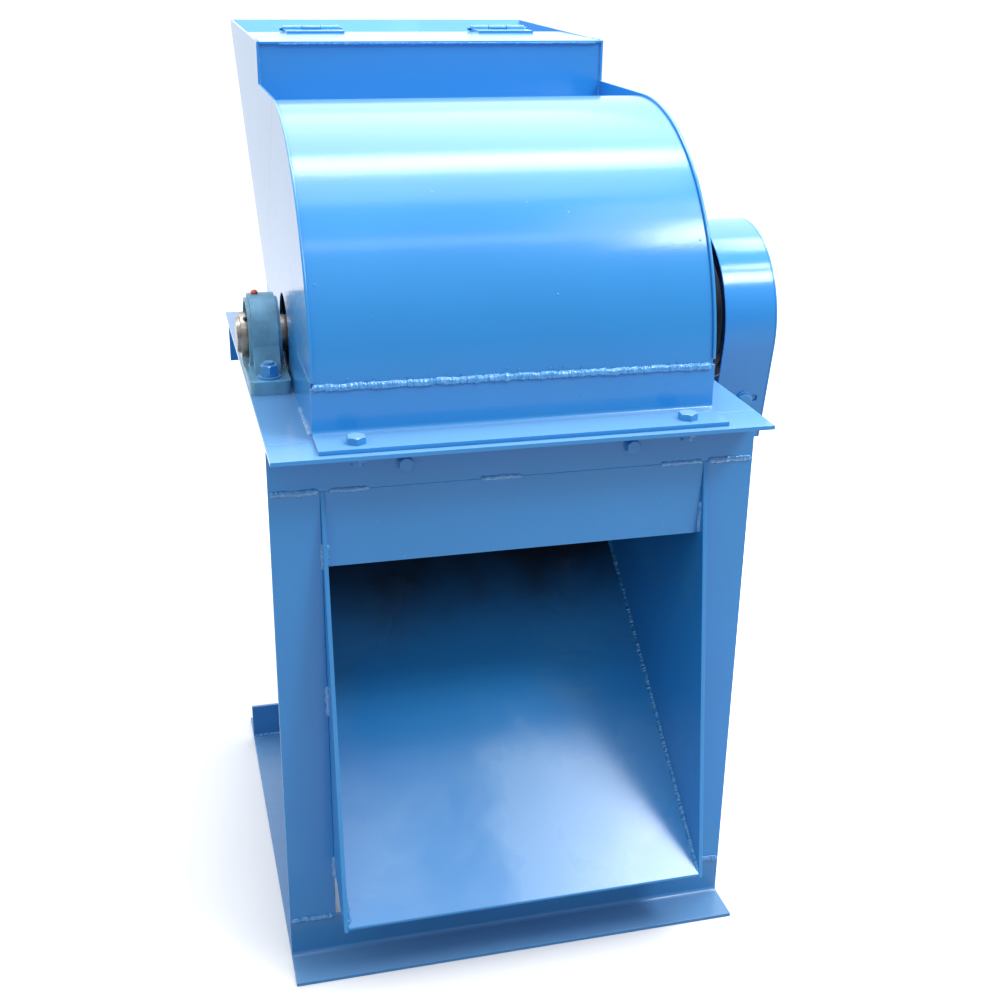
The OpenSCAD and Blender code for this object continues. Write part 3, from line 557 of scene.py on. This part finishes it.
def add_drop(mesh, centre, up, radius):
    """Adds one flattened drop of spatter."""
    turn = Vector((0, 0, 1)).rotation_difference(up).to_matrix().to_4x4()
    shape = Matrix.Translation(centre) @ turn @ Matrix.Diagonal((radius, radius, radius * 0.7, 1))
    bmesh.ops.create_icosphere(mesh, subdivisions=2, radius=1.0, matrix=shape)


def finish_mesh(name, mesh, body, finish):
    """Turns a bmesh into a smooth piece that rides on a body."""
    bmesh.ops.recalc_face_normals(mesh, faces=mesh.faces)
    data = bpy.data.meshes.new(name)
    mesh.to_mesh(data)
    mesh.free()
    for face in data.polygons:
        face.use_smooth = True
    piece = bpy.data.objects.new(name, data)
    bpy.context.scene.collection.objects.link(piece)
    data.materials.append(finish)
    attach(piece, body)
    return piece


def seam_piece(name, body, seams, welds, seed, spatter=()):
    """One piece of several seams, each (points, up, size factor).

    Spatter lists strips as (start, end, how far the drops spread across, normal).
    """
    mesh = bmesh.new()
    for index, (points, up, size) in enumerate(seams):
        points = [Vector(p) for p in points]
        add_seam(mesh, points, Vector(up), welds.width * size, welds.height * size, welds.ripple,
                 seed + 7 * index)
    dice = random.Random(seed)
    for start, end, across, normal in spatter:
        start, end, across = Vector(start), Vector(end), Vector(across)
        for _ in range(int(welds.spatter * (end - start).length)):
            share, off = dice.random(), 1.3 * math.tanh(dice.gauss(0, 1))
            spot = start.lerp(end, share) + across * off
            add_drop(mesh, spot, Vector(normal), dice.uniform(0.5, 1.3) * MM)
    return finish_mesh(name, mesh, body, FINISHES["weld"])


# ---- operators ----


class HAMMERMILL_OT_finishes(bpy.types.Operator):
    """Build the shared effects and every finish"""

    bl_idname = "hammermill.finishes"
    bl_label = "Finishes"

    def execute(self, context):
        build_effects()
        FINISHES.update(build_finishes(context.scene.mill_paint))
        return {"FINISHED"}


class HAMMERMILL_OT_stand(bpy.types.Operator):
    """Paint the angle-iron stand and the chute"""

    bl_idname = "hammermill.stand"
    bl_label = "Stand and chute"

    def execute(self, context):
        edges = context.scene.mill_edges
        bars = [n for n in NODES if n.startswith(("top_rail", "bottom_rail", "leg_"))]
        dress(bars + ["front_apron", "chute_floor", *CHUTE_SIDES], edges.plate)
        return {"FINISHED"}


class HAMMERMILL_OT_casing(bpy.types.Operator):
    """Paint the lower casing, the screen, the bearings and the belt guard"""

    bl_idname = "hammermill.casing"
    bl_label = "Casing, bearings and guard"

    def execute(self, context):
        edges = context.scene.mill_edges
        dress(["casing_rear_plate", "breaker_plate", "guard_band", "guard_face"], edges.plate)
        dress(["casing_side_left", "casing_side_right"], edges.plate, harden=True)
        dress(["screen", "screen_rail_left", "screen_rail_right", "bearing_housing_left",
               "bearing_housing_right", "bearing_outer_rings", "bearing_bolts", "grease_nipples",
               "breaker_bolts", "guard_brackets", "guard_bolts", "hood_nuts", "hood_hinge_lugs",
               "hood_hinge_pins"])
        return {"FINISHED"}


class HAMMERMILL_OT_rotor(bpy.types.Operator):
    """Give the rotor and its hammers their steel"""

    bl_idname = "hammermill.rotor"
    bl_label = "Rotor and hammers"

    def execute(self, context):
        groups = frame["record"]["behaviour"]["bodies"]
        for body, nodes in groups.items():
            if body == "rotor" or body.startswith("hammers"):
                dress(nodes)
        return {"FINISHED"}


class HAMMERMILL_OT_hood(bpy.types.Operator):
    """Paint the hood, the hopper and the flap"""

    bl_idname = "hammermill.hood"
    bl_label = "Hood and hopper"

    def execute(self, context):
        edges = context.scene.mill_edges
        dress(["hood_shell", "hood_front_angle", "hopper_front_wall", "hopper_top_plate"],
              edges.plate)
        dress(["hood_side_left", "hood_side_right"], edges.plate, harden=True)
        dress(["hopper_rear_wall", "hood_bolts", "flap_hinges", "feed_flap"])
        return {"FINISHED"}


class HAMMERMILL_OT_stand_welds(bpy.types.Operator):
    """Lay the weld seams of the stand and the lower casing"""

    bl_idname = "hammermill.stand_welds"
    bl_label = "Welds of the stand"

    def execute(self, context):
        welds = context.scene.mill_welds
        front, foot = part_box("top_rail_front"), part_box("bottom_rail_front")
        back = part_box("top_rail_rear")
        leg, rear_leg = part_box("leg_front_right"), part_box("leg_rear_right")
        top, low = front[0].z, foot[1].z
        face, inner = leg[0].y, front[1].y
        rear_face, rear_inner = rear_leg[1].y, back[0].y
        seams = []
        for s in (-1, 1):
            wide = (s * (leg[1].x - 2 * MM), s * (leg[0].x + 1 * MM))
            for z in (top, low):
                seams.append(([(wide[0], face, z), (wide[1], face, z)], (0, -1, 0), 1.0))
            wide = (s * (rear_leg[1].x - 2 * MM), s * (rear_leg[0].x + 2 * MM))
            for z in (top, low):
                seams.append(([(wide[0], rear_face, z), (wide[1], rear_face, z)], (0, 1, 0), 1.0))
        seam_piece("leg_welds", "stand", seams, welds, 11)

        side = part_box("bottom_rail_right")
        flange, web_x = side[0].z + BAR_THICK, side[0].x + BAR_THICK
        seams = []
        for s in (-1, 1):
            for y, way in ((inner, 1), (rear_inner, -1)):
                seams.append(([(s * (side[1].x - 2 * MM), y, flange),
                               (s * (web_x + 2 * MM), y, flange)], (0, way, 1), 0.8))
                seams.append(([(s * web_x, y, flange + 3 * MM), (s * web_x, y, low - 2 * MM)],
                              (s, way, 0), 0.8))
        seam_piece("foot_corner_welds", "stand", seams, welds, 37)

        apron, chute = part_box("front_apron"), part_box("chute_side_right")
        seams = [([(x0, face, top), (x1, face, top)], (0, -1, 0), 0.75)
                 for x0, x1 in ((-0.268, -0.212), (-0.057, 0.002), (0.208, 0.272))]
        for s, run in ((1, 0.050), (-1, 0.034)):
            x, z = s * apron[1].x, apron[0].z
            seams.append(([(x, face, z), (x, face, z + run)], (-s, -1, 0), 1.0))
        for s in (-1, 1):
            x = s * chute[1].x
            for z0, z1 in ((0.653, 0.695), (0.422, 0.471), (0.140, 0.178)):
                seams.append(([(x, face, z0), (x, face, z1)], (s, -1, 0), 1.0))
        seam_piece("apron_and_chute_welds", "stand", seams, welds, 53,
                   [((-0.25, face, 0.70), (0.25, face, 0.70), (0, 0, 0.03), (0, -1, 0))])

        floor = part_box("chute_floor")
        rise = (floor[1].z - floor[0].z - 3.75 * MM) / (floor[1].y - floor[0].y)
        skin = floor[0].z + 3.75 * MM
        lean = Vector((0, -rise, 1)).normalized()
        seams = []
        for s in (-1, 1):
            x = s * floor[1].x
            path = [(x, floor[0].y + t, skin + rise * t) for t in (0.004, 0.30, 0.62)]
            seams.append((path, Vector((-s, 0, 0)) + lean, 1.25))
        seam_piece("chute_floor_welds", "stand", seams, welds, 71)

        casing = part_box("casing_side_right")
        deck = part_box("top_rail_right")[1].z
        seams = []
        for s in (-1, 1):
            x = s * casing[1].x
            seams.append(([(x, casing[0].y + 12 * MM, deck), (x, -0.177, deck)], (s, 0, 1), 0.9))
            seams.append(([(x, 0.150, deck), (x, casing[1].y - 8 * MM, deck)], (s, 0, 1), 0.9))
            skin = x - s * BAR_THICK
            seams.append(([(skin, casing[1].y, deck), (skin, casing[1].y, casing[1].z - 2 * MM)],
                          (s, 1, 0), 0.6))
        seam_piece("casing_welds", "stand", seams, welds, 89)
        return {"FINISHED"}


class HAMMERMILL_OT_hood_welds(bpy.types.Operator):
    """Lay the weld seams of the hood and the hopper"""

    bl_idname = "hammermill.hood_welds"
    bl_label = "Welds of the hood"

    def execute(self, context):
        welds = context.scene.mill_welds
        bar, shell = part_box("hood_front_angle"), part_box("hood_shell")
        crest, front = bar[1].z, shell[0].y - 2 * MM
        seams = [([(bar[0].x + 2 * MM, front, crest + 1 * MM), (0.0, front, crest),
                   (bar[1].x - 4 * MM, front, crest - 2 * MM)], (0, -1, 0.5), 1.15)]
        seam_piece("hood_front_weld", "hood", seams, welds, 101,
                   [((-0.27, front + 1 * MM, crest), (0.27, front + 1 * MM, crest), (0, 0, 0.010),
                     (0, -1, 0))])

        wall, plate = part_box("hopper_front_wall"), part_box("hopper_top_plate")
        rear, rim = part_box("hopper_rear_wall"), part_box("hood_side_right")
        seams = [([(wall[0].x + 0.03, plate[0].y, plate[0].z),
                   (wall[1].x - 0.01, plate[0].y, plate[0].z)], (0, -1, -0.5), 0.38)]
        for s in (-1, 1):
            x = s * wall[1].x
            seams.append(([(x, wall[0].y, rim[1].z - 0.10), (x, wall[0].y, plate[0].z - 4 * MM)],
                          (-s, -1, 0), 0.45))
            seams.append(([(x, plate[0].y + 6 * MM, plate[1].z),
                           (x, plate[0].y + 60 * MM, plate[1].z)], (-s, 0, 1), 0.5))
            start = rear[1] - Vector((0, 0.20, 0.20 * HOPPER_SLOPE))
            seams.append(([(x, start.y, start.z), (x, rear[1].y - 3 * MM, rear[1].z - 3 * MM)],
                          (-s, -HOPPER_SLOPE, 1), 0.8))
        seam_piece("hopper_welds", "hood", seams, welds, 131)
        return {"FINISHED"}


class HAMMERMILL_OT_stage(bpy.types.Operator):
    """Set the pale floor, the soft light and the camera"""

    bl_idname = "hammermill.stage"
    bl_label = "Stage"

    def execute(self, context):
        stage = context.scene.mill_stage
        context.scene.view_settings.view_transform = "Standard"
        self.floor()
        self.world(stage)
        self.lamp("strip", (0.45, 0.25, 3.5), (0.50, 1.7), stage.strip)
        self.lamp("strip_edge", (0.45, -0.40, 3.6), (0.90, 1.7), 0.17 * stage.strip)
        self.lamp("band", (0.60, -2.00, 3.5), (0.22, 2.2), 0.25 * stage.strip)
        self.lamp("back", (0.40, 1.95, 3.5), (2.7, 2.0), stage.back)
        self.lamp("guard_rear", (1.78, 0.42, 3.5), (1.00, 0.6), 0.7 * stage.strip)
        self.lamp("guard_front", (1.78, -1.15, 3.5), (0.30, 0.6), 1.3 * stage.strip)
        self.lamp("window", (1.80, -1.95, 3.4), (0.85, 0.95), stage.window)
        self.lamp("window_edge", (1.20, -1.45, 3.6), (0.9, 0.5), 0.12 * stage.window)
        self.camera(context, stage)
        return {"FINISHED"}

    def floor(self):
        mesh = bmesh.new()
        bmesh.ops.create_grid(mesh, x_segments=8, y_segments=8, size=60.0)
        data = bpy.data.meshes.new("floor")
        mesh.to_mesh(data)
        mesh.free()
        plate = bpy.data.objects.new("floor", data)
        bpy.context.scene.collection.objects.link(plate)
        material, web, shader, place = new_finish("pale_floor", Roughness=0.9)
        shader.inputs["Specular IOR Level"].default_value = 0.1
        bounced = web.add("ShaderNodeLightPath").outputs["Is Diffuse Ray"]
        depth = web.add("ShaderNodeSeparateXYZ", Vector=place).outputs["Y"]
        shown = web.mix(web.ramp(depth, -0.6, 1.6), (0.62, 0.625, 0.63, 1.0),
                        (0.92, 0.925, 0.93, 1.0))
        seen = web.add("ShaderNodeLightPath").outputs["Is Camera Ray"]
        shown = web.mix(seen, shown, (0.88, 0.885, 0.89, 1.0))
        web.feed(shader.inputs["Base Color"], web.mix(bounced, shown, (0.28, 0.29, 0.30, 1.0)))
        data.materials.append(material)

    def world(self, stage):
        world = bpy.data.worlds.new("soft_room")
        world.use_nodes = True
        bpy.context.scene.world = world
        tree = world.node_tree
        tree.nodes.clear()
        web = Web(tree)
        way = web.add("ShaderNodeTexCoord").outputs["Generated"]
        dot = web.add("ShaderNodeVectorMath", {"operation": "DOT_PRODUCT"})
        web.feed(dot.inputs[0], way)
        dot.inputs[1].default_value = (-0.15, 0.45, 0.88)
        level = web.ramp(dot.outputs["Value"], -0.30, 0.80, stage.front, stage.sky)
        behind = web.add("ShaderNodeSeparateXYZ", Vector=way).outputs["Y"]
        level = web.math("MAXIMUM", level, web.ramp(behind, 0.70, 0.92, 0.0, stage.horizon))
        seen = web.add("ShaderNodeLightPath").outputs["Is Camera Ray"]
        level = web.math("MAXIMUM", level, web.math("MULTIPLY", seen, 1.08))
        glow = web.add("ShaderNodeBackground", Strength=level)
        glow.inputs["Color"].default_value = (0.97, 0.985, 1.0, 1.0)
        out = web.add("ShaderNodeOutputWorld")
        tree.links.new(glow.outputs[0], out.inputs["Surface"])

    def lamp(self, name, place, size, radiance):
        """A soft box facing down; size is its depth and its width."""
        data = bpy.data.lights.new(name, "AREA")
        data.shape, data.size, data.size_y = "RECTANGLE", size[1], size[0]
        data.energy = radiance * math.pi * size[0] * size[1]
        lamp = bpy.data.objects.new(name, data)
        lamp.location = place
        bpy.context.scene.collection.objects.link(lamp)

    def camera(self, context, stage):
        yaw, pitch, roll = (math.radians(angle) for angle in CAMERA_TURN)
        ahead = Vector((math.sin(yaw) * math.cos(pitch), math.cos(yaw) * math.cos(pitch),
                        math.sin(pitch)))
        right = Vector((math.cos(yaw), -math.sin(yaw), 0))
        up = right.cross(ahead)
        tilted = right * math.cos(roll) + up * math.sin(roll)
        head = up * math.cos(roll) - right * math.sin(roll)
        data = bpy.data.cameras.new("camera")
        data.sensor_width, data.lens = 36.0, stage.lens
        camera = bpy.data.objects.new("camera", data)
        turn = Matrix((tilted, head, -ahead)).transposed().to_4x4()
        camera.matrix_world = Matrix.Translation(CAMERA_PLACE) @ turn
        context.scene.collection.objects.link(camera)
        context.scene.camera = camera


OPERATORS = (
    HAMMERMILL_OT_finishes, HAMMERMILL_OT_stage, HAMMERMILL_OT_stand, HAMMERMILL_OT_casing,
    HAMMERMILL_OT_rotor, HAMMERMILL_OT_hood, HAMMERMILL_OT_stand_welds, HAMMERMILL_OT_hood_welds,
)


class HAMMERMILL_PT_panel(bpy.types.Panel):
    """Lists the sizes, colours and steps of the hammer mill"""

    bl_idname = "HAMMERMILL_PT_panel"
    bl_label = "Hammer Mill"
    bl_space_type = "VIEW_3D"
    bl_region_type = "UI"
    bl_category = "Hammer Mill"

    def draw(self, context):
        layout = self.layout
        for name in GROUPS:
            box = layout.box()
            settings = getattr(context.scene, name)
            for key in settings.bl_rna.properties.keys():
                if key not in ("rna_type", "name"):
                    box.prop(settings, key)
        for operator in OPERATORS:
            layout.operator(operator.bl_idname)


GROUPS = {
    "mill_paint": HammerMillPaint,
    "mill_welds": HammerMillWelds,
    "mill_edges": HammerMillEdges,
    "mill_stage": HammerMillStage,
}


def register():
    for cls in (*GROUPS.values(), *OPERATORS, HAMMERMILL_PT_panel):
        bpy.utils.register_class(cls)
    for name, cls in GROUPS.items():
        setattr(bpy.types.Scene, name, PointerProperty(type=cls))


def unregister():
    for name in GROUPS:
        delattr(bpy.types.Scene, name)
    for cls in (HAMMERMILL_PT_panel, *reversed(OPERATORS), *reversed(GROUPS.values())):
        bpy.utils.unregister_class(cls)


def main():
    register()
    for operator in OPERATORS:
        family, step = operator.bl_idname.split(".")
        getattr(getattr(bpy.ops, family), step)()


if __name__ == "__main__":
    main()
